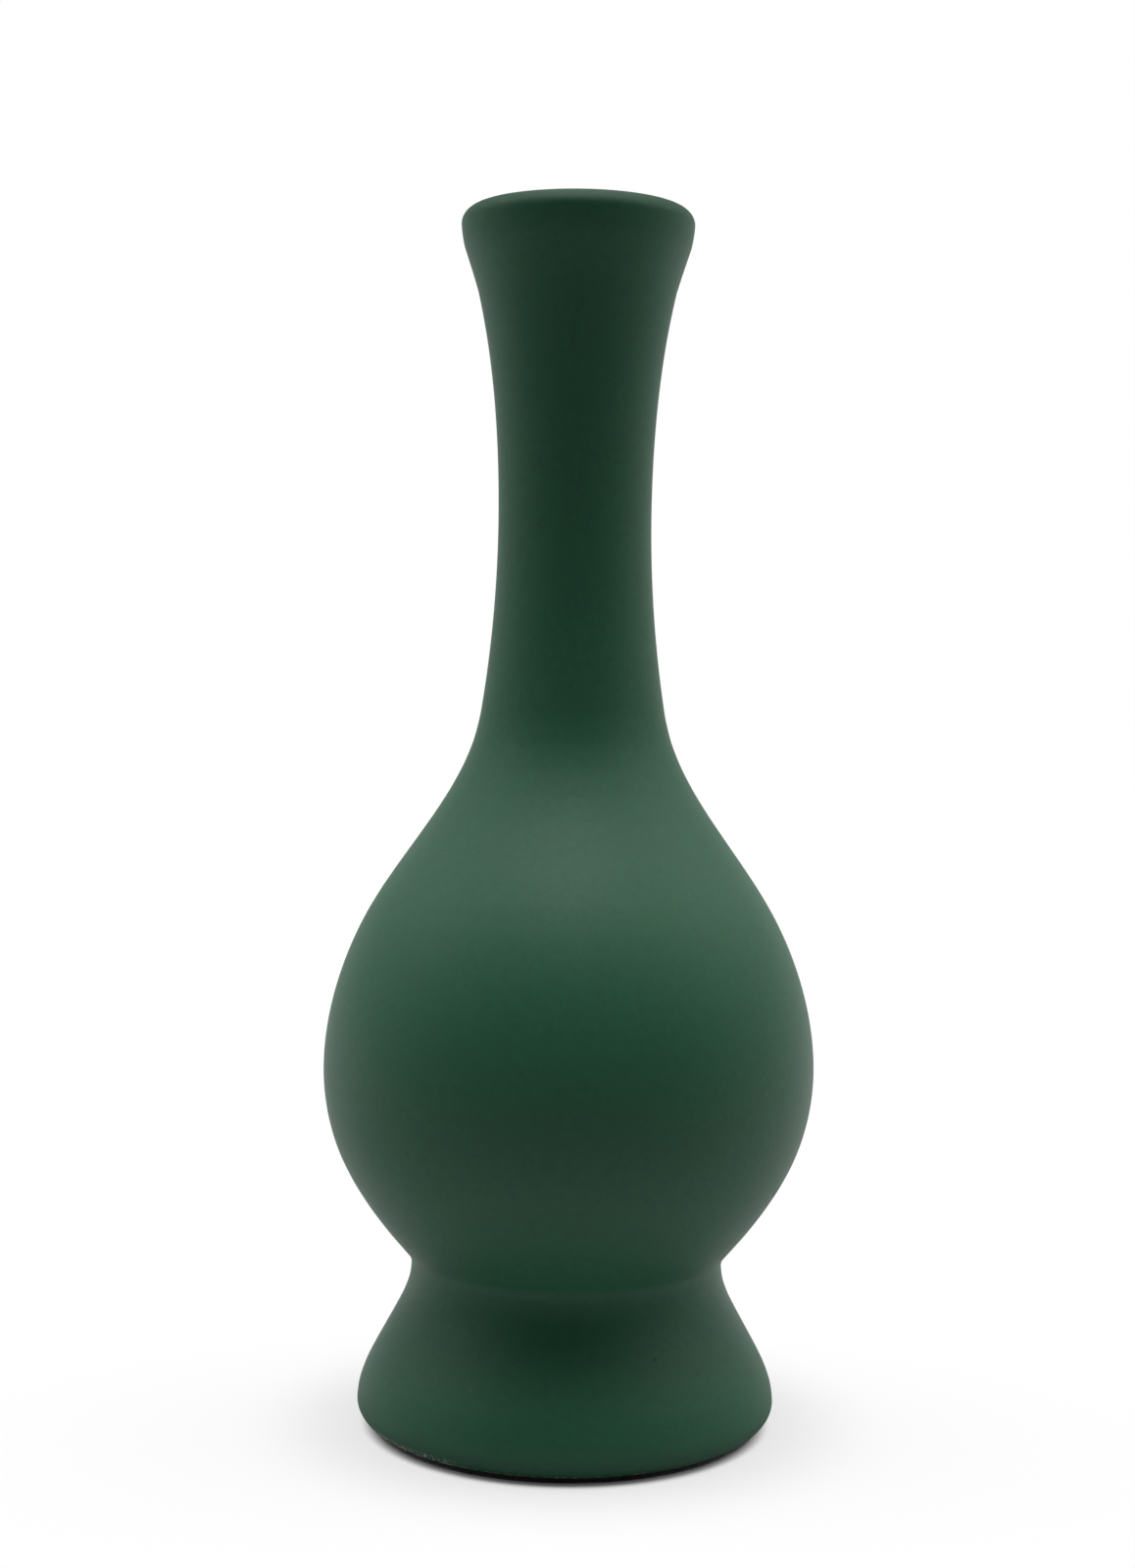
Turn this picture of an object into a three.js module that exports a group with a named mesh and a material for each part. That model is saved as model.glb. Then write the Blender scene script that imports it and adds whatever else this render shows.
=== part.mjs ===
// A hollow plaster bottle vase: a round-edged foot, a pinched waist, a full belly, a long neck and a
// rolled lip, cast in one. A glass water tube hangs in its mouth, and a felt pad is glued under it.
// Millimetres, +Z up. The origin is the middle of the underside, where the vase stands.

import * as THREE from "three";

// The outside of the casting, from the foot up. Each station has its radius, its rise above the
// station before it, and its lean from upright in degrees, positive where the wall widens going up.
const FOOT_EDGE = { radius: 48.75, lean: 68 }; // where the rounded foot meets its flat underside
const FOOT = { radius: 51.65, rise: 4.2, lean: 0 };
const FOOT_FLANK = { radius: 45, rise: 17, lean: -28 };
const WAIST = { radius: 38.5, rise: 16.5, lean: 0 };
const WAIST_ROUND = { radius: 5.25, angle: 41.5 }; // the tight turn from the waist out to the bowl
const BOWL = { radius: 55.9, rise: 27, lean: 24 };
const BELLY = { radius: 60.5, rise: 22, lean: 0 };
const SHOULDER = { radius: 49.9, rise: 38.5, lean: -29 };
const NECK_ROOT = { radius: 22.75, rise: 48.5, lean: -9.5 };
const NECK = { radius: 18.85, rise: 49, lean: 0 };
const FLARE = { radius: 24.3, rise: 54, lean: 13 };
const LIP = { radius: 28.5, rise: 16, lean: 0 };
const CROWN = { inset: 4.5, rise: 4 }; // the ridge of the lip, in from its widest ring

// The hollow
const WALL = 8;
const FLOOR = 10;
const HOLLOW_INTO_NECK = 18; // how far above the neck's root the hollow narrows to the bore

// The glass liner and its seat in the mouth
const TUBE_RADIUS = 11;
const TUBE_GLASS = 1.3;
const TUBE_ABOVE_FLOOR = 57;
const RIM_REACH = 3; // how far the rolled rim stands out from the tube
const RIM_HEIGHT = 2.6;
const RIM_INNER_ROUND = 0.5;
const SEAT_DEPTH = 22; // below the crown of the lip
const SEAT_GAP = 0.3;
const BORE_CLEARANCE = 1.5;
const RIM_CLEARANCE = 1;

// The felt pad
const PAD_THICKNESS = 1.5;
const PAD_INSET = 0.5;
const PAD_SOFT_EDGE = 0.4;

// How far a wall's curve keeps to each end's lean, as a share of the distance between the ends
const EASE = 0.33;

// Facets around each turned piece, and along each stretch of its outline
const BODY_SIDES = 64;
const TUBE_SIDES = 32;
const OUTSIDE_STEPS = {
  edge: 5, foot: 4, turn: 3, bowl: 4, belly: 6, shoulder: 8, neck: 4, lip: 3,
};
const INSIDE_STEPS = {
  heel: 3, foot: 2, turn: 3, bowl: 2, belly: 3, shoulder: 4, neck: 2, throat: 3, crown: 3,
};
const TUBE_STEPS = { bottom: 6, bore: 5, roll: 6, edge: 2 };

// Points of an outline that are nearer than this are one point.
const SAME_POINT = 1e-6;

// Heights, each from the one below it
const undersideHeight = PAD_THICKNESS;
const footHeight = undersideHeight + FOOT.rise;
const flankHeight = footHeight + FOOT_FLANK.rise;
const waistHeight = flankHeight + WAIST.rise;
const bowlHeight = waistHeight + BOWL.rise;
const bellyHeight = bowlHeight + BELLY.rise;
const shoulderHeight = bellyHeight + SHOULDER.rise;
const neckRootHeight = shoulderHeight + NECK_ROOT.rise;
const neckHeight = neckRootHeight + NECK.rise;
const flareHeight = neckHeight + FLARE.rise;
const lipHeight = flareHeight + LIP.rise;
const crownHeight = lipHeight + CROWN.rise;
const floorHeight = undersideHeight + FLOOR;

// The middles of the rounds at the waist and the lip
const waistCentre = new THREE.Vector2(WAIST.radius + WAIST_ROUND.radius, waistHeight);
const lipCentre = new THREE.Vector2(LIP.radius - CROWN.inset, lipHeight);

// The ledge in the throat is sized from the tube that hangs on it.
const seatHeight = crownHeight - SEAT_DEPTH;
const boreRadius = TUBE_RADIUS + BORE_CLEARANCE;
const rimRadius = TUBE_RADIUS + RIM_REACH;
const ledgeRadius = rimRadius + RIM_CLEARANCE;

// A point of an outline, and the way that the wall runs through it, going up.
function station(radius, height, lean) {
  const angle = THREE.MathUtils.degToRad(lean);
  return {
    at: new THREE.Vector2(radius, height),
    way: new THREE.Vector2(Math.sin(angle), Math.cos(angle)),
  };
}

// The outer wall's station, or the hollow's: the same height and lean, in by the wall's thickness.
function stationOf(place, height, thickness) {
  const slant = Math.cos(THREE.MathUtils.degToRad(place.lean));
  return station(place.radius - thickness / slant, height, place.lean);
}

// The smooth wall from one station up to the next, as a cubic curve that keeps both leans.
function wall(from, to, steps) {
  const reach = EASE * from.at.distanceTo(to.at);
  return new THREE.CubicBezierCurve(
    from.at,
    from.at.clone().addScaledVector(from.way, reach),
    to.at.clone().addScaledVector(to.way, -reach),
    to.at,
  ).getPoints(steps);
}

// A stretch of an ellipse about its centre, from one angle to another in degrees.
function round(centre, across, up, fromAngle, toAngle, steps) {
  const start = THREE.MathUtils.degToRad(fromAngle);
  const end = THREE.MathUtils.degToRad(toAngle);
  const clockwise = toAngle < fromAngle;
  return new THREE.EllipseCurve(
    centre.x, centre.y, across, up, start, end, clockwise,
  ).getPoints(steps);
}

// Joins stretches of an outline end to end, without the points that they share.
function joined(...stretches) {
  const outline = [];
  for (const point of stretches.flat()) {
    const last = outline.at(-1);
    if (!last || last.distanceTo(point) > SAME_POINT) outline.push(point);
  }
  return outline;
}

// Turns an outline of (radius, height) points about the Z axis. It starts and ends on the axis, and
// runs up the outside.
function turned(outline, sides) {
  return new THREE.LatheGeometry(outline, sides).rotateX(Math.PI / 2);
}

// One side of the casting's wall, from the foot's flank to the neck's root: the outside with no
// thickness, and the hollow with the wall's.
function bodyWall(thickness, steps) {
  const flank = stationOf(FOOT_FLANK, flankHeight, thickness);
  const waist = stationOf(WAIST, waistHeight, thickness);
  const turnRadius = WAIST_ROUND.radius + thickness;
  const turnEnd = 180 - WAIST_ROUND.angle;
  const waistTurn = round(waistCentre, turnRadius, turnRadius, 180, turnEnd, steps.turn);
  const aboveWaist = station(waistTurn.at(-1).x, waistTurn.at(-1).y, WAIST_ROUND.angle);
  const bowl = stationOf(BOWL, bowlHeight, thickness);
  const belly = stationOf(BELLY, bellyHeight, thickness);
  const shoulder = stationOf(SHOULDER, shoulderHeight, thickness);
  const neckRoot = stationOf(NECK_ROOT, neckRootHeight, thickness);
  return joined(
    wall(flank, waist, steps.foot),
    waistTurn,
    wall(aboveWaist, bowl, steps.bowl),
    wall(bowl, belly, steps.bowl),
    wall(belly, shoulder, steps.belly),
    wall(shoulder, neckRoot, steps.shoulder),
  );
}

// The outside of the casting, from the edge of its flat underside up to the crown of the lip.
function outsideOutline() {
  const footEdge = stationOf(FOOT_EDGE, undersideHeight, 0);
  const foot = stationOf(FOOT, footHeight, 0);
  const flank = stationOf(FOOT_FLANK, flankHeight, 0);
  const neckRoot = stationOf(NECK_ROOT, neckRootHeight, 0);
  const neck = stationOf(NECK, neckHeight, 0);
  const flare = stationOf(FLARE, flareHeight, 0);
  const lip = stationOf(LIP, lipHeight, 0);
  return joined(
    wall(footEdge, foot, OUTSIDE_STEPS.edge),
    wall(foot, flank, OUTSIDE_STEPS.foot),
    bodyWall(0, OUTSIDE_STEPS),
    wall(neckRoot, neck, OUTSIDE_STEPS.neck),
    wall(neck, flare, OUTSIDE_STEPS.neck),
    wall(flare, lip, OUTSIDE_STEPS.lip),
    round(lipCentre, CROWN.inset, CROWN.rise, 0, 90, OUTSIDE_STEPS.edge),
  );
}

// The inside of the casting, from the axis of its floor up to the crown of the lip.
function insideOutline() {
  const heel = station(FOOT_EDGE.radius - WALL, floorHeight, 90);
  const flank = stationOf(FOOT_FLANK, flankHeight, WALL);
  const neckRoot = stationOf(NECK_ROOT, neckRootHeight, WALL);
  const boreFoot = station(boreRadius, neckRootHeight + HOLLOW_INTO_NECK, 0);
  const ledgeInner = new THREE.Vector2(boreRadius, seatHeight);
  const ledgeOuter = station(ledgeRadius, seatHeight, FLARE.lean);
  const throat = stationOf(LIP, lipHeight, WALL);
  return joined(
    [new THREE.Vector2(0, floorHeight)],
    wall(heel, flank, INSIDE_STEPS.heel),
    bodyWall(WALL, INSIDE_STEPS),
    wall(neckRoot, boreFoot, INSIDE_STEPS.neck),
    [ledgeInner],
    wall(ledgeOuter, throat, INSIDE_STEPS.throat),
    round(lipCentre, lipCentre.x - throat.at.x, CROWN.rise, 180, 90, INSIDE_STEPS.crown),
  );
}

// The hollow casting: up the outside, over the lip and down the inside to the floor.
function vaseBody() {
  const outline = joined(
    [new THREE.Vector2(0, undersideHeight)],
    outsideOutline(),
    insideOutline().reverse(),
  );
  return turned(outline, BODY_SIDES);
}

// The glass tube: from its round bottom up the outside, over the rolled rim and down the bore.
function glassLiner() {
  const innerRadius = TUBE_RADIUS - TUBE_GLASS;
  const roll = RIM_HEIGHT / 2;
  const rimUnderside = seatHeight + SEAT_GAP;
  const rimTop = rimUnderside + RIM_HEIGHT;
  const bottomCentre = new THREE.Vector2(0, floorHeight + TUBE_ABOVE_FLOOR + TUBE_RADIUS);
  const rollCentre = new THREE.Vector2(rimRadius - roll, rimUnderside + roll);
  const mouthCentre = new THREE.Vector2(innerRadius + RIM_INNER_ROUND, rimTop - RIM_INNER_ROUND);
  const outline = joined(
    [new THREE.Vector2(0, bottomCentre.y - TUBE_RADIUS)],
    round(bottomCentre, TUBE_RADIUS, TUBE_RADIUS, -90, 0, TUBE_STEPS.bottom).slice(1),
    [new THREE.Vector2(TUBE_RADIUS, rimUnderside)],
    round(rollCentre, roll, roll, -90, 90, TUBE_STEPS.roll),
    round(mouthCentre, RIM_INNER_ROUND, RIM_INNER_ROUND, 90, 180, TUBE_STEPS.edge),
    round(bottomCentre, innerRadius, innerRadius, 0, -90, TUBE_STEPS.bore).slice(0, -1),
    [new THREE.Vector2(0, bottomCentre.y - innerRadius)],
  );
  return turned(outline, TUBE_SIDES);
}

// The felt disc under the foot, with its cut edge softened above and below.
function basePad() {
  const radius = FOOT_EDGE.radius - PAD_INSET;
  const outline = [
    new THREE.Vector2(0, 0),
    new THREE.Vector2(radius - PAD_SOFT_EDGE, 0),
    new THREE.Vector2(radius, PAD_SOFT_EDGE),
    new THREE.Vector2(radius, PAD_THICKNESS - PAD_SOFT_EDGE),
    new THREE.Vector2(radius - PAD_SOFT_EDGE, PAD_THICKNESS),
    new THREE.Vector2(0, PAD_THICKNESS),
  ];
  return turned(outline, BODY_SIDES);
}

const plaster = new THREE.MeshStandardMaterial({ color: 0x26533a, roughness: 0.6, metalness: 0 });
const felt = new THREE.MeshStandardMaterial({ color: 0x141513, roughness: 1, metalness: 0 });
const glass = new THREE.MeshStandardMaterial({
  color: 0xe6f2ee,
  roughness: 0.05,
  metalness: 0,
  transparent: true,
  opacity: 0.35,
});

function piece(name, geometry, material) {
  const mesh = new THREE.Mesh(geometry, material);
  mesh.name = name;
  return mesh;
}

const vase = new THREE.Group();
vase.add(piece("vase_body", vaseBody(), plaster));
vase.add(piece("glass_liner", glassLiner(), glass));
vase.add(piece("base_pad", basePad(), felt));

export default vase;
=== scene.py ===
"""A painted plaster bottle vase, the glass water tube in its mouth and the felt pad under its foot.

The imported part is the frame. The casting and the felt pad are turned again from the outlines of
their CAD nodes, finely enough for the marks of hand finishing, and the glass tube is its CAD node.
Lengths are in metres, +Z is up, and the vase stands on the floor at the origin.
"""

import logging
import math
from abc import ABC, abstractmethod
from collections import defaultdict
from collections.abc import Mapping
from dataclasses import dataclass, field
from enum import Enum

import bpy
import numpy as np
from mathutils import Matrix, Vector, noise


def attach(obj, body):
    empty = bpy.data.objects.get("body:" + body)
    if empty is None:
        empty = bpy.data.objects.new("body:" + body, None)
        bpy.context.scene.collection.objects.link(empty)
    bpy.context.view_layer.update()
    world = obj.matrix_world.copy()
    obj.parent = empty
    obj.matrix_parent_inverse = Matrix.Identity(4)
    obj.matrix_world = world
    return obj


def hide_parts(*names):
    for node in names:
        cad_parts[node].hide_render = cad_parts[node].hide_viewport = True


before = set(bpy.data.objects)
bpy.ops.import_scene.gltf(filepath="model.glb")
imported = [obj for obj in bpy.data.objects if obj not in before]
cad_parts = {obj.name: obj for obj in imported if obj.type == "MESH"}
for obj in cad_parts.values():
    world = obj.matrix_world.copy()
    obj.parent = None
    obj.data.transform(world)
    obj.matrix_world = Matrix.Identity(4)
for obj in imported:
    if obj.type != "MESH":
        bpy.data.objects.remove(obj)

LOG = logging.getLogger("vase")
NEAR = 1e-6
NEAR_DIGITS = 7
SHARP_EDGE = math.radians(40)
PAINTED = "painted"
WHITE = (1.0, 1.0, 1.0, 1.0)

Span = tuple[float, float]
Triple = tuple[float, float, float]


class Body(Enum):
    """The CAD bodies that pieces ride on."""

    VASE = "vase"
    LINER = "liner"


class Node(Enum):
    """The CAD nodes."""

    CASTING = "vase_body"
    PAD = "base_pad"
    TUBE = "glass_liner"


class Slot(Enum):
    """The record's material slots."""

    PLASTER = "painted_plaster"
    FELT = "dark_felt"


@dataclass(frozen=True)
class Grain:
    """Soft noise from about 0 to 1.

    Attributes:
        size: How long one swell is, in metres.
        detail: How many finer layers lie on it.
        stretch: How much longer the swells are along each axis.
    """

    size: float
    detail: float
    stretch: Triple = (1, 1, 1)


@dataclass(frozen=True)
class Patches:
    """Patches with soft edges.

    Attributes:
        grain: The noise that they are cut from.
        levels: The noise's levels where a patch begins and where it is full.
    """

    grain: Grain
    levels: Span


class Signal:
    """One output of a node, for arithmetic with plain operators."""

    def __init__(self, bench: "NodeBench", socket: bpy.types.NodeSocket) -> None:
        """Wraps an output.

        Args:
            bench: Where further nodes are added.
            socket: The output.
        """
        self.bench = bench
        self.socket = socket

    def _math(self, operation: str, first: "Signal | float", second: "Signal | float") -> "Signal":
        """Adds a Math node.

        Args:
            operation: What it does.
            first: Its first number.
            second: Its second number.

        Returns:
            The result.
        """
        return self.bench.signal("ShaderNodeMath", {"operation": operation}, {0: first, 1: second})

    def __add__(self, other: "Signal | float") -> "Signal":
        """The sum."""
        return self._math("ADD", self, other)

    def __radd__(self, other: float) -> "Signal":
        """The sum, with the number first."""
        return self._math("ADD", other, self)

    def __sub__(self, other: "Signal | float") -> "Signal":
        """The difference."""
        return self._math("SUBTRACT", self, other)

    def __rsub__(self, other: float) -> "Signal":
        """The difference, with the number first."""
        return self._math("SUBTRACT", other, self)

    def __mul__(self, other: "Signal | float") -> "Signal":
        """The product."""
        return self._math("MULTIPLY", self, other)

    def __rmul__(self, other: float) -> "Signal":
        """The product, with the number first."""
        return self._math("MULTIPLY", other, self)

    def larger(self, other: "Signal | float") -> "Signal":
        """The larger of the two."""
        return self._math("MAXIMUM", self, other)


class NodeBench:
    """Adds nodes to one tree and joins them up."""

    MIX_COLOURS = (6, 7)
    MIX_RESULT = 2

    def __init__(self, tree: bpy.types.NodeTree) -> None:
        """Clears the tree.

        Args:
            tree: The tree of a material, a world or a modifier.
        """
        self.tree = tree
        tree.nodes.clear()

    def node(
        self,
        kind: str,
        settings: Mapping[str, object] | None = None,
        sockets: Mapping[int | str, object] | None = None,
    ) -> bpy.types.Node:
        """Adds a node: its settings first, then its inputs.

        Args:
            kind: The node's type.
            settings: Its settings by name.
            sockets: Its inputs by name or number, each a Signal to link or a plain value.

        Returns:
            The node.
        """
        made = self.tree.nodes.new(kind)
        for name, value in (settings or {}).items():
            setattr(made, name, value)
        for key, value in (sockets or {}).items():
            if isinstance(value, Signal):
                self.tree.links.new(value.socket, made.inputs[key])
            else:
                made.inputs[key].default_value = value
        return made

    def signal(
        self,
        kind: str,
        settings: Mapping[str, object] | None = None,
        sockets: Mapping[int | str, object] | None = None,
        output: int | str = 0,
    ) -> Signal:
        """Adds a node and takes one of its outputs.

        Args:
            kind: The node's type.
            settings: Its settings by name.
            sockets: Its inputs by name or number.
            output: The output's name or number.

        Returns:
            The output.
        """
        return Signal(self, self.node(kind, settings, sockets).outputs[output])

    def place(self) -> Signal:
        """The point on the object, in metres."""
        return self.signal("ShaderNodeTexCoord", output="Object")

    def coordinate(self, axis: str) -> Signal:
        """The X, Y or Z of the point on the object, in metres."""
        return self.signal("ShaderNodeSeparateXYZ", None, {0: self.place()}, axis)

    def distance(self, centre: Triple) -> Signal:
        """How far the point on the object is from a centre, in metres."""
        ends = {0: self.place(), 1: centre}
        return self.signal("ShaderNodeVectorMath", {"operation": "DISTANCE"}, ends, "Value")

    def seen(self) -> Signal:
        """Tells the camera's view from the rest of the light.

        Returns:
            1 where the camera looks, straight or through glass, and 0 elsewhere.
        """
        path = self.node("ShaderNodeLightPath")
        direct = Signal(self, path.outputs["Is Camera Ray"])
        return direct.larger(Signal(self, path.outputs["Is Transmission Ray"]))

    def grain(self, grain: Grain) -> Signal:
        """Makes soft noise.

        Args:
            grain: Its size, detail and stretch.

        Returns:
            The noise, from about 0 to 1.
        """
        scale = tuple(1 / share for share in grain.stretch)
        place = self.signal(
            "ShaderNodeVectorMath", {"operation": "MULTIPLY"}, {0: self.place(), 1: scale}
        )
        sockets = {"Vector": place, "Scale": 1 / grain.size, "Detail": grain.detail}
        return self.signal("ShaderNodeTexNoise", None, sockets)

    def rise(self, value: Signal, low: float, high: float) -> Signal:
        """A smooth step.

        Args:
            value: What is measured.
            low: Where the step is 0.
            high: Where the step is 1, above low or below it.

        Returns:
            The step.
        """
        return self.signal(
            "ShaderNodeMapRange",
            {"interpolation_type": "SMOOTHSTEP"},
            {"Value": value, "From Min": low, "From Max": high},
        )

    def patches(self, patches: Patches) -> Signal:
        """Patches that are 1 inside and 0 between."""
        return self.rise(self.grain(patches.grain), *patches.levels)

    def near(self, centre: Triple, reach: float, core: float = 0.4) -> Signal:
        """A soft spot.

        Args:
            centre: The spot's middle.
            reach: How far away it is 0.
            core: The share of the reach within which it is 1.

        Returns:
            The spot.
        """
        return self.rise(self.distance(centre), reach, reach * core)

    def mixed(
        self, share: Signal | float, under: Signal | Triple, over: Signal | Triple
    ) -> Signal:
        """Mixes two colours.

        Args:
            share: How much of the second shows.
            under: The first colour.
            over: The second colour.

        Returns:
            The mixed colour.
        """
        colours = {
            key: colour if isinstance(colour, Signal) else (*colour, 1.0)
            for key, colour in zip(self.MIX_COLOURS, (under, over))
        }
        sockets = {0: share, **colours}
        return self.signal("ShaderNodeMix", {"data_type": "RGBA"}, sockets, self.MIX_RESULT)

    def bump(self, height: Signal) -> Signal:
        """Turns a height in metres into a surface normal."""
        sockets = {"Strength": 1.0, "Distance": 1.0, "Height": height}
        return self.signal("ShaderNodeBump", None, sockets, "Normal")


@dataclass(frozen=True)
class Finish(ABC):
    """What a surface looks like."""

    name: str

    def material(self) -> bpy.types.Material:
        """Makes the finish's material.

        Returns:
            The material.
        """
        material = bpy.data.materials.new(self.name)
        material.use_nodes = True
        bench = NodeBench(material.node_tree)
        bench.node("ShaderNodeOutputMaterial", None, {"Surface": self.shader(bench)})
        return material

    @abstractmethod
    def shader(self, bench: NodeBench) -> Signal:
        """The finish's shader, made on the bench."""


@dataclass(frozen=True)
class Fleck:
    """A small mark in the paint.

    Attributes:
        at: Its middle.
        reach: How far from there it ends.
        strength: How much of the paint it hides.
        colour: Its colour.
    """

    at: Triple
    reach: float
    strength: float
    colour: Triple


@dataclass(frozen=True)
class PaintedPlaster(Finish):
    """Matt paint over cast plaster, thin at its ends and bare inside and under the foot.

    Attributes:
        paint: The paint's colour.
        thin_paint: Its colour where little of it lies.
        plaster: Bare plaster.
        stained: Plaster that has been damp.
        swell: Broad, faint clouds in the paint.
        mottle: Small clouds in the paint.
        grit: The paint's finest grain.
        ragged: The noise along the line where the paint ends.
        swell_shade: How much the broad clouds change its shade.
        mottle_shade: How much the small clouds change its shade.
        grit_shade: How much the finest grain changes its shade.
        crown_band: The heights of the band at the crown that is painted darker, a painted shade
            that tones down the top light there; the band is also rougher.
        crown_painted_shade: How much darker the painted shade makes the crown.
        raggedness: How wide the ragged line is.
        paint_end: How far in from its end the paint covers nothing, and everything.
        thin_edge: How far in from its end it stops being thin, and how far in it is thinnest.
        thin_patches: The patches where it is thin.
        thin_share: How much the plaster shows through there.
        worn_edge: The middle of the stretch of the foot's edge that is worn most.
        worn_reach: How far that stretch goes.
        worn_band: How far in from its end the paint is whole, and rubbed, on that stretch.
        rubbed_band: How far in it is whole, and rubbed, all the way round.
        rubbed_share: How much of it is rubbed through there.
        chips: The patches that rubbing takes off.
        chip_share: How much plaster shows in them.
        stains: The damp patches.
        stain_share: How much they show.
        pores: Air holes in the bare plaster.
        grit_height: How high the finest grain stands.
        mottle_height: How high the small clouds stand.
        thickness: The paint's thickness.
        pore_depth: How deep the air holes are.
        chip_depth: How deep the chips are.
        bare_roughness: How dull bare plaster is.
        paint_roughness: How dull the paint is.
        swell_roughness: How much the broad clouds change that.
        crown_roughness: How much rougher the crown is.
        chip_roughness: How much duller the chips are.
        ior: The index of refraction.
        specular: The level of the surface's mirror light.
        flecks: Marks in the paint.
    """

    name: str = "matt_green_paint_on_plaster"
    paint: Triple = (0.0120, 0.0865, 0.0408)
    thin_paint: Triple = (0.075, 0.120, 0.088)
    plaster: Triple = (0.62, 0.57, 0.48)
    stained: Triple = (0.42, 0.38, 0.30)
    swell: Grain = Grain(0.030, 1.0)
    mottle: Grain = Grain(0.0018, 2.0)
    grit: Grain = Grain(0.0006, 3.0)
    ragged: Grain = Grain(0.004, 3.0)
    swell_shade: float = 0.10
    mottle_shade: float = 0.30
    grit_shade: float = 0.20
    crown_band: Span = (0.2935, 0.2972)
    crown_painted_shade: float = 0.40
    raggedness: float = 0.003
    paint_end: Span = (0.0, 0.0004)
    thin_edge: Span = (0.004, 0.0005)
    thin_patches: Patches = Patches(Grain(0.0025, 3.0), (0.5, 0.75))
    thin_share: float = 0.35
    worn_edge: Triple = (-0.0395, -0.0315, 0.0027)
    worn_reach: float = 0.022
    worn_band: Span = (0.0049, 0.0042)
    rubbed_band: Span = (0.0032, 0.0022)
    rubbed_share: float = 0.5
    chips: Patches = Patches(Grain(0.0008, 2.0), (0.53, 0.59))
    chip_share: float = 0.85
    stains: Patches = Patches(Grain(0.014, 4.0), (0.3, 0.8))
    stain_share: float = 0.35
    pores: Patches = Patches(Grain(0.0013, 1.0), (0.66, 0.78))
    grit_height: float = 0.00002
    mottle_height: float = 0.000025
    thickness: float = 0.00008
    pore_depth: float = 0.0004
    chip_depth: float = 0.0001
    bare_roughness: float = 0.92
    paint_roughness: float = 0.56
    swell_roughness: float = 0.10
    crown_roughness: float = 0.2
    chip_roughness: float = 0.2
    ior: float = 1.5
    specular: float = 0.385
    flecks: tuple[Fleck, ...] = (
        Fleck((0.0209, -0.0378, 0.0260), 0.0006, 0.7, (0.008, 0.02, 0.012)),
        Fleck((-0.0218, -0.0414, 0.0195), 0.0009, 0.25, (0.075, 0.120, 0.088)),
    )

    def shader(self, bench: NodeBench) -> Signal:
        """Paint with a soft mottle and fine grain, and plaster where it ends.

        Args:
            bench: Where the nodes go.

        Returns:
            The shader.
        """
        edge = bench.signal("ShaderNodeAttribute", {"attribute_name": PAINTED}, None, "Fac")
        swell = bench.grain(self.swell) - 0.5
        mottle = bench.grain(self.mottle)
        grit = bench.grain(self.grit)
        cover = bench.rise(
            edge + (bench.grain(self.ragged) - 0.5) * self.raggedness, *self.paint_end
        )
        chipped = self._chipped(bench, edge)
        # The band at the crown is painted darker: painted shade that tones down the top light on
        # it.
        crown_band = bench.rise(bench.coordinate("Z"), *self.crown_band)

        # The clouds and grain vary the paint's own tone; the crown band darkens it with painted
        # shade.
        shade = 1.0 + swell * self.swell_shade + (mottle - 0.5) * self.mottle_shade
        shade = shade + (grit - 0.5) * self.grit_shade - crown_band * self.crown_painted_shade
        painted = self._painted(bench, edge, shade, chipped)
        stain = bench.patches(self.stains) * self.stain_share
        bare = bench.mixed(stain, self.plaster, self.stained)

        smoother = self.bare_roughness - self.paint_roughness
        smoother = smoother - swell * self.swell_roughness - crown_band * self.crown_roughness
        hollow = (1.0 - cover) * bench.patches(self.pores) * self.pore_depth
        height = grit * self.grit_height + mottle * self.mottle_height
        height = height + cover * self.thickness - hollow - chipped * self.chip_depth
        return bench.signal(
            "ShaderNodeBsdfPrincipled",
            None,
            {
                "Base Color": bench.mixed(cover, bare, painted),
                "Roughness": self.bare_roughness - cover * smoother + chipped * self.chip_roughness,
                "IOR": self.ior,
                "Specular IOR Level": self.specular,
                "Normal": bench.bump(height),
            },
        )

    def _chipped(self, bench: NodeBench, edge: Signal) -> Signal:
        """Where rubbing has taken the paint off.

        Args:
            bench: Where the nodes go.
            edge: How far the paint's end is.

        Returns:
            1 on the chips and 0 elsewhere.
        """
        worn = bench.rise(edge, *self.worn_band) * bench.near(self.worn_edge, self.worn_reach)
        rubbed = worn + bench.rise(edge, *self.rubbed_band) * self.rubbed_share
        return rubbed * bench.patches(self.chips)

    def _painted(
        self, bench: NodeBench, edge: Signal, shade: Signal, chipped: Signal
    ) -> Signal:
        """The painted surface, with its thin patches, flecks and chips.

        Args:
            bench: Where the nodes go.
            edge: How far the paint's end is.
            shade: How light the paint is.
            chipped: Where it has come off.

        Returns:
            The colour.
        """
        thin = bench.rise(edge, *self.thin_edge) * bench.patches(self.thin_patches)
        colour = bench.mixed(thin * self.thin_share, self.paint, self.thin_paint)
        sockets = {0: colour, "Scale": shade}
        colour = bench.signal("ShaderNodeVectorMath", {"operation": "SCALE"}, sockets)
        for fleck in self.flecks:
            share = bench.near(fleck.at, fleck.reach) * fleck.strength
            colour = bench.mixed(share, colour, fleck.colour)
        return bench.mixed(chipped * self.chip_share, colour, self.plaster)


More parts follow.
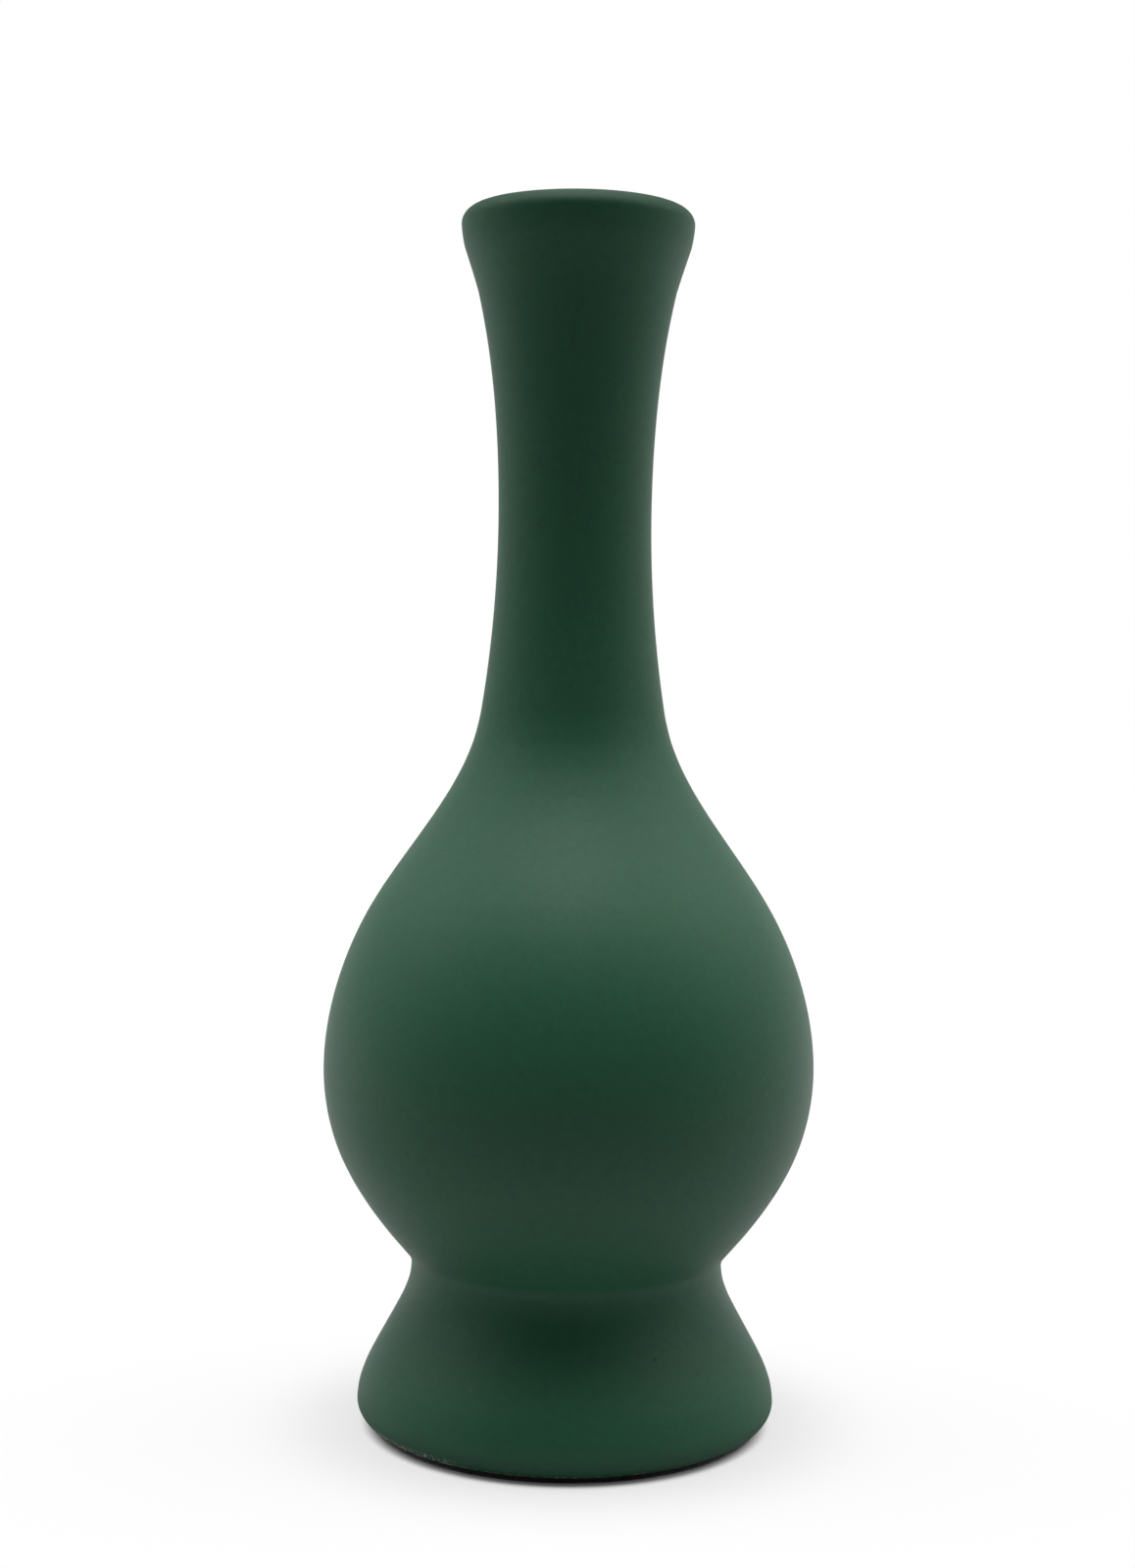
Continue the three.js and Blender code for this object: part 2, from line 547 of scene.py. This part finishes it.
@dataclass(frozen=True)
class ClearGlass(Finish):
    """Clear drawn glass with faint draw lines and a haze of dried water.

    Attributes:
        tint: The glass's colour.
        roughness: How dull clean glass is.
        haze: The patches of dried water.
        haze_roughness: How much duller they are.
        lines: The draw lines, long up the tube.
        line_height: How high they stand.
        ior: The index of refraction.
        clear: How much of the light goes through.
    """

    name: str = "clear_drawn_glass"
    tint: Triple = (0.965, 0.985, 0.975)
    roughness: float = 0.015
    haze: Patches = Patches(Grain(0.006, 4.0, (1, 1, 3)), (0.5, 0.8))
    haze_roughness: float = 0.05
    lines: Grain = Grain(0.0009, 1.0, (1, 1, 60))
    line_height: float = 0.000004
    ior: float = 1.52
    clear: float = 0.985

    def shader(self, bench: NodeBench) -> Signal:
        """Clear glass, a little rougher where water dried.

        Args:
            bench: Where the nodes go.

        Returns:
            The shader.
        """
        return bench.signal(
            "ShaderNodeBsdfPrincipled",
            None,
            {
                "Base Color": (*self.tint, 1.0),
                "Roughness": self.roughness + bench.patches(self.haze) * self.haze_roughness,
                "IOR": self.ior,
                "Transmission Weight": self.clear,
                "Normal": bench.bump(bench.grain(self.lines) * self.line_height),
            },
        )


@dataclass(frozen=True)
class PressedFelt(Finish):
    """Dark pressed felt with short matted hairs.

    Attributes:
        dark: The felt's colour.
        pale: The colour of the lint on it.
        hairs: The hairs that lie one way, and those that lie across them.
        lint: How far up the hairs the lint begins, and where it is full.
        lint_share: How much of it shows.
        hair_height: How high the hairs stand.
        roughness: How dull the felt is.
        sheen: How strongly the hairs' tips catch the light.
        sheen_roughness: How widely they spread it.
    """

    name: str = "dark_pressed_felt"
    dark: Triple = (0.008, 0.0085, 0.0075)
    pale: Triple = (0.030, 0.029, 0.026)
    hairs: tuple[Grain, Grain] = (Grain(0.0005, 2.0, (4, 1, 1)), Grain(0.0005, 2.0, (1, 4, 1)))
    lint: Span = (0.58, 0.75)
    lint_share: float = 0.7
    hair_height: float = 0.0003
    roughness: float = 0.95
    sheen: float = 1.0
    sheen_roughness: float = 0.5

    def shader(self, bench: NodeBench) -> Signal:
        """Matted hairs at two slants, and a few paler ones.

        Args:
            bench: Where the nodes go.

        Returns:
            The shader.
        """
        along, across = (bench.grain(hairs) for hairs in self.hairs)
        hairs = along.larger(across)
        lint = bench.rise(hairs, *self.lint) * self.lint_share
        return bench.signal(
            "ShaderNodeBsdfPrincipled",
            None,
            {
                "Base Color": bench.mixed(lint, self.dark, self.pale),
                "Roughness": self.roughness,
                "Sheen Weight": self.sheen,
                "Sheen Roughness": self.sheen_roughness,
                "Normal": bench.bump(hairs * self.hair_height),
            },
        )


class Outline:
    """The outline of a turned surface: points of (radius, height), with the solid on their left."""

    def __init__(self, points: np.ndarray) -> None:
        """Keeps the points.

        Args:
            points: One row each, from the middle of the underside round to the axis again.
        """
        self.points = points

    @classmethod
    def of_node(cls, node: Node) -> "Outline":
        """Reads a turned CAD node's outline from its facets' edges in the XZ half-plane.

        Args:
            node: The CAD node.

        Returns:
            The outline.
        """
        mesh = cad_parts[node.value].data
        beside: dict[Span, set[Span]] = defaultdict(set)
        for facet in mesh.polygons:
            corners = [mesh.vertices[index].co for index in facet.vertices]
            for ends in zip(corners, corners[1:] + corners[:1]):
                if all(abs(end.y) < NEAR and end.x > -NEAR for end in ends):
                    here, there = (
                        (round(end.x, NEAR_DIGITS), round(end.z, NEAR_DIGITS)) for end in ends
                    )
                    beside[here].add(there)
                    beside[there].add(here)
        on_axis = [point for point in beside if abs(point[0]) < NEAR]
        walk = [min(on_axis, key=lambda point: point[1])]
        while onward := beside[walk[-1]] - set(walk):
            walk.append(onward.pop())
        return cls(np.array(walk))

    def refined(self, pitch: float, corner: float) -> "Outline":
        """Bows each stretch into an arc, by the smaller turn at its ends, and cuts it finer.

        Args:
            pitch: How far apart the new points are, at most.
            corner: A turn of more than this angle stays sharp.

        Returns:
            The finer outline.
        """
        steps = np.diff(self.points, axis=0)
        headings = np.arctan2(steps[:, 1], steps[:, 0])
        turns = (np.diff(headings) + math.pi) % math.tau - math.pi
        turns = np.concatenate([[0], np.where(np.abs(turns) > corner, 0, turns), [0]])
        fine = []
        for start, step, before, after in zip(self.points, steps, turns, turns[1:]):
            count = math.ceil(math.hypot(*step) / pitch)
            share = np.arange(count)[:, None] / count
            reach = 0.0
            if before * after > 0:
                bow = math.copysign(min(abs(before), abs(after)) / 2, before)
                angle = bow * (2 * share - 1)
                reach = (np.cos(angle) - math.cos(bow)) / (2 * math.sin(bow))
                share = (1 + np.sin(angle) / math.sin(bow)) / 2
            aside = np.array([step[1], -step[0]])
            fine.append(start + share * step + reach * aside)
        return Outline(np.concatenate([*fine, self.points[-1:]]))

    def lengths(self) -> np.ndarray:
        """How far along the outline each point is."""
        steps = np.linalg.norm(np.diff(self.points, axis=0), axis=1)
        return np.concatenate([[0], np.cumsum(steps)])

    def normals(self) -> np.ndarray:
        """The way out of the solid at each point.

        Returns:
            Unit (radius, height) rows.
        """
        way = np.gradient(self.points, axis=0)
        out = np.column_stack([way[:, 1], -way[:, 0]])
        return out / np.linalg.norm(out, axis=1)[:, None]


class TurnedMesh:
    """A mesh turned from an outline, ring by ring."""

    def __init__(self, outline: Outline, sides: int) -> None:
        """Turns the outline.

        Args:
            outline: It starts and ends on the axis.
            sides: How many points go round.
        """
        self.sides = sides
        angles = np.arange(sides) * math.tau / sides
        self._ways = np.column_stack([np.cos(angles), np.sin(angles)])
        self.points = self._spun(outline.points)
        self.normals = self._spun(outline.normals())

    def _spun(self, rows: np.ndarray) -> np.ndarray:
        """Spins (radius, height) rows about the axis.

        Args:
            rows: One for each point of the outline.

        Returns:
            An array of rings, points round each ring, and coordinates.
        """
        flat = rows[:, None, 0, None] * self._ways[None]
        up = np.broadcast_to(rows[:, None, 1, None], (*flat.shape[:2], 1))
        return np.concatenate([flat, up], axis=2)

    def push(self, depths: np.ndarray) -> None:
        """Moves points into the solid, by depths given for each ring and point round it."""
        self.points = self.points - self.normals * depths[:, :, None]

    def mesh(self, name: str, measures: Mapping[str, np.ndarray]) -> bpy.types.Mesh:
        """Makes the mesh, with one point at each end of the axis.

        Args:
            name: The mesh's name.
            measures: A number for each ring, kept on its points under each name.

        Returns:
            The mesh.
        """
        rings = len(self.points) - 2
        ring = np.arange(rings)[:, None] * self.sides + np.arange(self.sides)[None]
        onward = np.roll(ring, -1, axis=1)
        quads = np.stack([ring[:-1], onward[:-1], onward[1:], ring[1:]], axis=2).reshape(-1, 4)
        low, high = rings * self.sides, rings * self.sides + 1
        fans = [(low, b, a) for a, b in zip(ring[0], onward[0])]
        fans += [(high, a, b) for a, b in zip(ring[-1], onward[-1])]
        inner = self.points[1:-1].reshape(-1, 3)
        points = np.concatenate([inner, self.points[:1, 0], self.points[-1:, 0]])
        made = bpy.data.meshes.new(name)
        made.from_pydata(points.tolist(), [], quads.tolist() + fans)
        for measure, values in measures.items():
            spread = np.concatenate([np.repeat(values[1:-1], self.sides), values[:1], values[-1:]])
            layer = made.attributes.new(measure, "FLOAT", "POINT")
            layer.data.foreach_set("value", spread.astype(np.float32))
        made.shade_smooth()
        made.set_sharp_from_angle(angle=SHARP_EDGE)
        return made


@dataclass(frozen=True)
class Dent:
    """A small hollow in a surface.

    Attributes:
        at: Its middle.
        width: How wide it is.
        depth: How deep it is.
    """

    at: Triple
    width: float
    depth: float


@dataclass(frozen=True)
class SubAssembly(ABC):
    """A piece of the vase, and the body that seat hangs it on."""

    name: str
    body: Body
    finish: Finish

    @abstractmethod
    def build(self) -> bpy.types.Object:
        """Makes the piece and puts it in its place."""

    def seat(self, mesh: bpy.types.Mesh, stands_for: Node, slot: Slot) -> bpy.types.Object:
        """Puts a new mesh in the place of a CAD node.

        Args:
            mesh: The piece's mesh.
            stands_for: The CAD node that it replaces.
            slot: The record's material slot for it; not used.

        Returns:
            The piece.
        """
        piece = bpy.data.objects.new(self.name, mesh)
        bpy.context.scene.collection.objects.link(piece)
        mesh.materials.append(self.finish.material())
        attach(piece, self.body.value)
        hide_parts(stands_for.value)
        LOG.info("%s: %d faces, for %s", self.name, len(mesh.polygons), stands_for.value)
        return piece


@dataclass(frozen=True)
class PlasterCasting(SubAssembly):
    """The hollow casting, sanded by hand, painted outside and over the lip.

    Attributes:
        sides: How many points go round.
        pitch: How far apart the rings are, at most.
        corner: The angle of an edge that stays sharp.
        underside: How nearly straight down the flat underside faces.
        paint_under_foot: How far in under the foot the paint goes.
        paint_down_throat: How far down from the crown it goes.
        wear_fade: How far in from the paint's end the wear is full.
        unevenness: How deep hand sanding went.
        swell: How long its swells are.
        dents: Knocks in the surface.
    """

    name: str = "plaster_casting"
    body: Body = Body.VASE
    finish: Finish = field(default_factory=PaintedPlaster)
    sides: int = 256
    pitch: float = 0.0009
    corner: float = math.radians(35)
    underside: float = 0.999
    paint_under_foot: float = 0.0015
    paint_down_throat: float = 0.016
    wear_fade: float = 0.004
    unevenness: float = 0.00016
    swell: float = 0.045
    dents: tuple[Dent, ...] = (
        Dent((0.0500, -0.0184, 0.0613), 0.0012, 0.00045),
        Dent((-0.0180, -0.0215, 0.2972), 0.0011, 0.00035),
    )

    def build(self) -> bpy.types.Object:
        """Turns the casting, wears it and puts it in its place.

        Returns:
            The casting.
        """
        outline = Outline.of_node(Node.CASTING).refined(self.pitch, self.corner)
        turned = TurnedMesh(outline, self.sides)
        painted = self._painted(outline)
        outside = np.clip(painted / self.wear_fade, 0, 1)
        turned.push(outside[:, None] * self._wear(turned.points))
        return self.seat(turned.mesh(self.name, {PAINTED: painted}), Node.CASTING, Slot.PLASTER)

    def _painted(self, outline: Outline) -> np.ndarray:
        """How far in from the paint's nearer end each point of the outline is.

        Args:
            outline: The casting's outline.

        Returns:
            A length for each point, below 0 where the plaster is bare.
        """
        along = outline.lengths()
        foot = int(np.argmax(outline.normals()[:, 1] > -self.underside))
        crown = int(np.argmax(outline.points[:, 1]))
        from_foot = along - along[foot] + self.paint_under_foot
        to_throat = along[crown] + self.paint_down_throat - along
        return np.minimum(from_foot, to_throat)

    def _wear(self, points: np.ndarray) -> np.ndarray:
        """How far hand sanding and knocks took the surface in.

        Args:
            points: Rings of points.

        Returns:
            A depth for each point.
        """
        swells = [noise.noise(Vector(row) / self.swell) for row in points.reshape(-1, 3)]
        levels = np.clip(0.5 + 0.5 * np.array(swells), 0, 1)
        depths = self.unevenness * levels.reshape(points.shape[:2])
        for dent in self.dents:
            away = np.linalg.norm(points - np.array(dent.at), axis=2)
            depths += dent.depth * np.exp(-((away / dent.width) ** 2))
        return depths


@dataclass(frozen=True)
class FeltPad(SubAssembly):
    """The felt disc glued under the foot, with a soft, slightly uneven cut edge.

    Attributes:
        sides: How many points go round.
        pitch: How far apart the rings are, at most.
        corner: The angle of an edge that stays sharp.
        edge_band: How far in from the rim the disc has rings.
        raggedness: How deep the rim's unevenness goes.
        clump: How long a clump of hairs is.
        clump_fade: How fast the finer clumps fade.
        clump_step: How much finer each layer of clumps is.
        clump_layers: How many layers there are.
    """

    name: str = "felt_pad"
    body: Body = Body.VASE
    finish: Finish = field(default_factory=PressedFelt)
    sides: int = 240
    pitch: float = 0.0004
    corner: float = math.radians(50)
    edge_band: float = 0.0025
    raggedness: float = 0.00022
    clump: float = 0.0016
    clump_fade: float = 0.8
    clump_step: float = 2.0
    clump_layers: int = 3

    def build(self) -> bpy.types.Object:
        """Turns the disc, roughens its edge and puts it in its place.

        Returns:
            The pad.
        """
        coarse = Outline.of_node(Node.PAD)
        fine = coarse.refined(self.pitch, self.corner)
        inset = coarse.points[:, 0].max() - fine.points[:, 0]
        kept = (inset < self.edge_band) | (fine.points[:, 0] < NEAR)
        outline = Outline(fine.points[kept])
        turned = TurnedMesh(outline, self.sides)
        near_edge = np.clip(1 - inset[kept] / self.edge_band, 0, 1)
        outward = np.abs(outline.normals()[:, :1])
        turned.push(near_edge[:, None] * outward * self._clumps(turned.points))
        return self.seat(turned.mesh(self.name, {}), Node.PAD, Slot.FELT)

    def _clumps(self, points: np.ndarray) -> np.ndarray:
        """How far in from the cut the hairs' clumps end.

        Args:
            points: Rings of points.

        Returns:
            A depth for each point.
        """
        rows = points.reshape(-1, 3)
        layers = (self.clump_fade, self.clump_step, self.clump_layers)
        clumps = [noise.fractal(Vector(row) / self.clump, *layers) for row in rows]
        levels = np.clip(0.5 + 0.5 * np.array(clumps), 0, 1)
        return self.raggedness * levels.reshape(points.shape[:2])


@dataclass(frozen=True)
class GlassTube(SubAssembly):
    """The glass water tube: its CAD node, shaded round and given its glass.

    Attributes:
        weld: Facets' corners closer than this are joined.
    """

    name: str = Node.TUBE.value
    body: Body = Body.LINER
    finish: Finish = field(default_factory=ClearGlass)
    weld: float = 5 * NEAR

    def build(self) -> bpy.types.Object:
        """Gives the CAD node its finish.

        Returns:
            The CAD node.
        """
        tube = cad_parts[self.name]
        tube.data.materials[0] = self.finish.material()
        tube.modifiers.new("round", "NODES").node_group = self._rounding()
        LOG.info("%s: the CAD node, in glass", self.name)
        return tube

    def _rounding(self) -> bpy.types.NodeTree:
        """Nodes that join the facets and shade them round, except across sharp edges.

        Returns:
            The modifier's tree.
        """
        tree = bpy.data.node_groups.new("round_facets", "GeometryNodeTree")
        for way in ("INPUT", "OUTPUT"):
            tree.interface.new_socket("Geometry", in_out=way, socket_type="NodeSocketGeometry")
        bench = NodeBench(tree)
        facets = bench.signal("NodeGroupInput")
        sockets = {0: facets, "Name": "custom_normal"}
        loose = bench.signal("GeometryNodeRemoveAttribute", None, sockets)
        sockets = {"Geometry": loose, "Distance": self.weld}
        joined = bench.signal("GeometryNodeMergeByDistance", None, sockets)
        angle = bench.signal("GeometryNodeInputMeshEdgeAngle")
        sockets = {0: angle, 1: SHARP_EDGE}
        soft = bench.signal("FunctionNodeCompare", {"operation": "LESS_THAN"}, sockets)
        rounded = joined
        for domain, chosen in (("FACE", True), ("EDGE", soft)):
            sockets = {"Geometry": rounded, "Shade Smooth": chosen}
            rounded = bench.signal("GeometryNodeSetShadeSmooth", {"domain": domain}, sockets)
        bench.node("NodeGroupOutput", None, {0: rounded})
        return tree


@dataclass(frozen=True)
class Throw:
    """How much light the floor throws on, which grows toward the back.

    Attributes:
        before: Its share before the vase.
        behind: Its share behind the vase.
        depths: Where it begins to grow, and where it is full.
    """

    before: float
    behind: float
    depths: Span

    def level(self, bench: NodeBench, depth: Signal) -> Signal:
        """The share at a depth into the picture."""
        return bench.rise(depth, *self.depths) * (self.behind - self.before) + self.before


@dataclass(frozen=True)
class PaleFloor(Finish):
    """Plain white paper, which throws more light on the vase from behind it than from before it.

    To the camera it is the lit paper mixed with a plain white glow. The glow's share grows with
    distance from the foot, so the shadow at the foot is a painted shadow laid over the real one.

    Attributes:
        white: The paper's own white.
        glow_at_foot: How much plain white glow the camera sees at the foot's edge, where little
            of it lets the painted shadow show darkest.
        glow_near: How much glow it sees just clear of the foot.
        glow_far: How much glow it sees far from the vase.
        near_shadow: How far from the painted shadow's middle the near glow begins, and is full.
        far_shadow: How far from the painted shadow's middle the far glow begins, and is full.
        shadow_middle: The middle of the painted shadow at the foot, a little toward the front.
        bounce: What it throws on matt surfaces.
        sheen: What it throws on glossy ones.
    """

    name: str = "white_paper_floor"
    white: float = 0.62
    glow_at_foot: float = 0.05
    glow_near: float = 0.63
    glow_far: float = 0.78
    near_shadow: Span = (0.0467, 0.0507)
    far_shadow: Span = (0.056, 0.085)
    shadow_middle: Triple = (0.0, -0.002, 0.0)
    bounce: Throw = Throw(0.2, 0.5, (-0.35, 0.0))
    sheen: Throw = Throw(0.2, 0.75, (-0.35, 0.30))

    def shader(self, bench: NodeBench) -> Signal:
        """Matt paper, white to the camera with a painted shadow at the foot, and darker to the
        light that it throws on.

        Args:
            bench: Where the nodes go.

        Returns:
            The shader.
        """
        seen = bench.seen()
        # The glow's share grows with distance from the foot: a painted shadow ring over the real
        # shadow.
        away = bench.distance(self.shadow_middle)
        near = bench.rise(away, *self.near_shadow) * (self.glow_near - self.glow_at_foot)
        far = bench.rise(away, *self.far_shadow) * (self.glow_far - self.glow_near)
        glow_share = near + far + self.glow_at_foot
        depth = bench.coordinate("Y")
        mirrored = bench.signal("ShaderNodeLightPath", output="Is Glossy Ray")
        matt, glossy = (throw.level(bench, depth) for throw in (self.bounce, self.sheen))
        thrown = bench.mixed(mirrored, matt, glossy)
        paper = bench.signal(
            "ShaderNodeBsdfPrincipled",
            None,
            {
                "Base Color": bench.mixed(seen, thrown, (self.white,) * 3),
                "Roughness": 1.0,
                "Specular IOR Level": 0.0,
            },
        )
        glow = bench.signal("ShaderNodeEmission", None, {"Color": WHITE, "Strength": 1.0})
        return bench.signal("ShaderNodeMixShader", None, {0: seen * glow_share, 1: paper, 2: glow})


@dataclass(frozen=True)
class SoftPanel:
    """A large soft light far away.

    Attributes:
        toward: The way to its middle.
        reach: The angle from its middle at which it has faded out, in degrees.
        level: How bright its middle is.
    """

    toward: Triple
    reach: float
    level: float

    def light(self, bench: NodeBench, way: Signal) -> Signal:
        """The light that comes from one way.

        Args:
            bench: Where the nodes go.
            way: The way.

        Returns:
            The light.
        """
        ends = {0: way, 1: tuple(Vector(self.toward).normalized())}
        facing = bench.signal("ShaderNodeVectorMath", {"operation": "DOT_PRODUCT"}, ends, "Value")
        return bench.rise(facing, math.cos(math.radians(self.reach)), 1.0) * self.level


@dataclass(frozen=True)
class Viewpoint:
    """The camera, low before the vase and almost level.

    Attributes:
        eye: Where it stands.
        down: How far down it looks, in degrees.
        aside: How far to the left it looks, in degrees.
        tilt: How far it leans, in degrees.
        focal_length: Its focal length, in pixels of the picture.
        picture_height: The picture's height, in pixels.
        sensor: Its sensor's longer side, in millimetres.
        nearest: How near it can see.
    """

    eye: Triple = (0.0, -0.5623, 0.1853)
    down: float = 2.774
    aside: float = 0.109
    tilt: float = 0.671
    focal_length: float = 2329.913
    picture_height: float = 1600.0
    sensor: float = 36.0
    nearest: float = 0.01

    def build(self) -> None:
        """Puts the camera in its place."""
        camera = bpy.data.objects.new("camera", bpy.data.cameras.new("camera"))
        bpy.context.scene.collection.objects.link(camera)
        camera.data.sensor_width = self.sensor
        camera.data.lens = self.focal_length / self.picture_height * self.sensor
        camera.data.clip_start = self.nearest
        turn = (
            Matrix.Rotation(math.radians(self.aside), 4, "Z")
            @ Matrix.Rotation(math.radians(90 - self.down), 4, "X")
            @ Matrix.Rotation(math.radians(self.tilt), 4, "Z")
        )
        camera.matrix_world = Matrix.Translation(self.eye) @ turn
        bpy.context.scene.camera = camera


@dataclass(frozen=True)
class Studio:
    """A white floor, soft light from all round and the camera."""

    floor_width: float = 12.0
    panels: tuple[SoftPanel, ...] = (
        SoftPanel((0, 0, 1), 25, 11.6),
        SoftPanel((0, 1, 0.15), 50, 0.43),
        SoftPanel((0.7, 0.7, 0.2), 40, 0.70),
        SoftPanel((-0.7, 0.7, 0.2), 40, 0.61),
        SoftPanel((0.65, 0.1, 0.75), 35, 2.2),
        SoftPanel((-0.65, 0.1, 0.75), 35, 1.9),
        SoftPanel((-1, 0, 0.2), 45, 0.15),
        SoftPanel((1, 0, 0.2), 45, 0.07),
    )
    viewpoint: Viewpoint = Viewpoint()

    def build(self) -> None:
        """Makes the floor, the light and the camera."""
        self._floor()
        self._light()
        self.viewpoint.build()
        bpy.context.scene.view_settings.view_transform = "Standard"

    def _floor(self) -> None:
        """Makes the floor that the vase stands on."""
        half = self.floor_width / 2
        mesh = bpy.data.meshes.new("floor")
        corners = [(-half, -half, 0), (half, -half, 0), (half, half, 0), (-half, half, 0)]
        mesh.from_pydata(corners, [], [(0, 1, 2, 3)])
        mesh.materials.append(PaleFloor().material())
        floor = bpy.data.objects.new("floor", mesh)
        bpy.context.scene.collection.objects.link(floor)

    def _light(self) -> None:
        """Paints the panels on the world, which the camera sees as plain white."""
        world = bpy.data.worlds.new("soft_room")
        bpy.context.scene.world = world
        world.use_nodes = True
        bench = NodeBench(world.node_tree)
        way = bench.signal("ShaderNodeTexCoord", output="Generated")
        level = sum(panel.light(bench, way) for panel in self.panels)
        seen = bench.seen()
        shown = level * (1.0 - seen) + seen
        sky = bench.signal("ShaderNodeBackground", None, {"Color": shown, "Strength": 1.0})
        bench.node("ShaderNodeOutputWorld", None, {"Surface": sky})


def main() -> None:
    """Builds the vase and the studio."""
    logging.basicConfig(level=logging.INFO, format="%(name)s: %(message)s")
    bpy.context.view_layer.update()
    Studio().build()
    for piece in (PlasterCasting(), FeltPad(), GlassTube()):
        piece.build()


if __name__ == "__main__":
    main()
